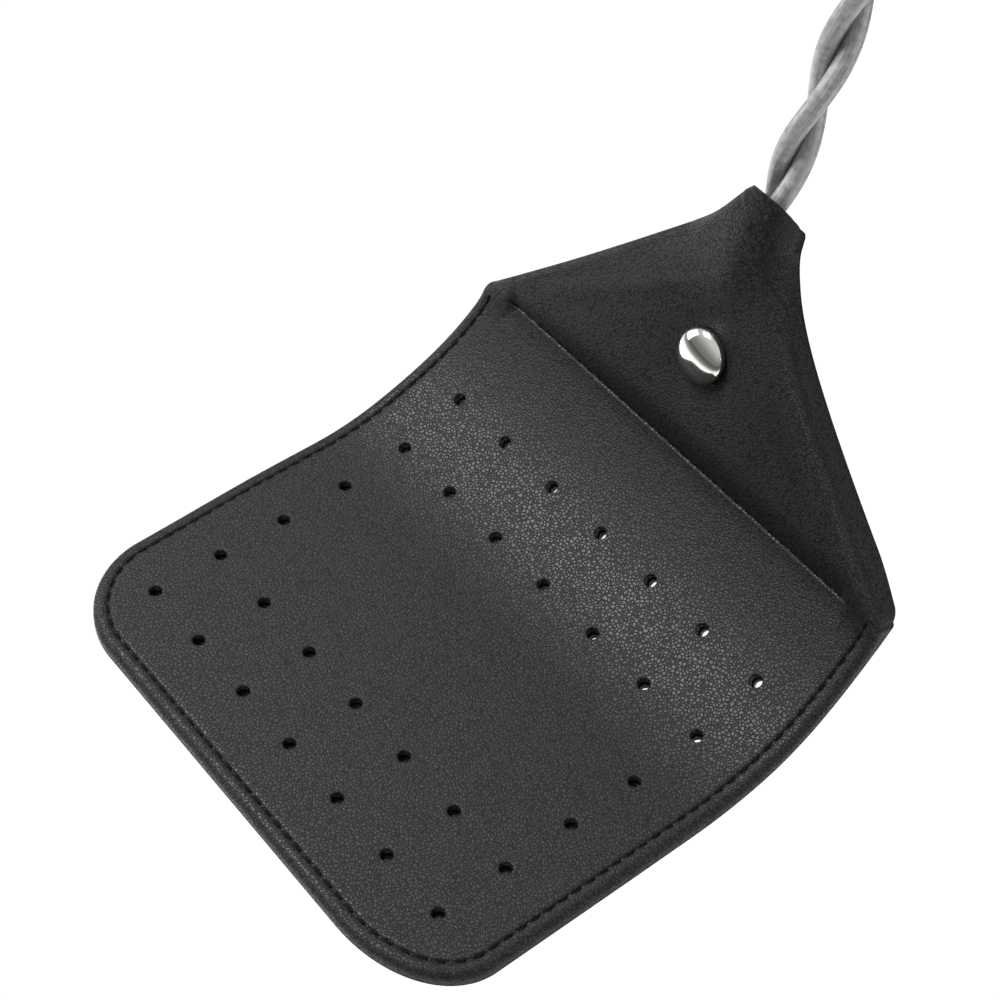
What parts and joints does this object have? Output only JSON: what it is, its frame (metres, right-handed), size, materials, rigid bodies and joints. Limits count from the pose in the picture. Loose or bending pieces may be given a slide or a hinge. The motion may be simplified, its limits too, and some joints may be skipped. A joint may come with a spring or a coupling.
{
  "type": "leather fly swatter",
  "caption": "Hand fly swatter: perforated double leather blade, stitched and bent up at the neck, on a twisted wire shaft with a leather grip and eyelet.",
  "frame": {"origin": "on the back face of the flat blade, on the centre line, half-way between the second and third hole rows from the free end", "axes": "+X along the blade from the free end towards the neck, +Y across the blade, +Z out of the blade's front face and up; the neck, shaft and grip rise at 73.3 degrees to the blade"},
  "size_m": [0.1903, 0.0946, 0.3619],
  "materials": {
    "black_leather": "satin, fine pebbled grain",
    "black_thread": "matte bonded thread",
    "galvanised_wire": "matte grey with drawing lines",
    "nickel": "polished nickel plate"
  },
  "bodies": {
    "handle": {"front_bend_leather": "black_leather", "front_neck_leather": "black_leather", "front_grip_leather": "black_leather", "front_bend_edge_thread": "black_thread", "front_cross_seam_thread": "black_thread", "front_grip_thread": "black_thread", "back_bend_leather": "black_leather", "back_neck_leather": "black_leather", "back_grip_leather": "black_leather", "back_bend_edge_thread": "black_thread", "back_cross_seam_thread": "black_thread", "back_grip_thread": "black_thread", "rivet_cap": "nickel", "rivet_stud": "nickel", "twisted_wire": "galvanised_wire", "hanging_eyelet": "nickel", "eyelet_washer": "nickel"},
    "blade": {"front_blade_leather": "black_leather", "front_edge_thread": "black_thread", "back_blade_leather": "black_leather", "back_edge_thread": "black_thread"}
  },
  "joints": [
    {"name": "blade_flex", "type": "hinge", "parent": "handle", "child": "blade", "pos_m": [0.0468, 0, 0.00683], "axis": [0, -1, 0], "range_deg": [-15, 73], "stiffness_Nm_per_rad": 0.3, "deforming": ["front_bend_leather", "front_bend_edge_thread", "back_bend_leather", "back_bend_edge_thread"]}
  ]
}
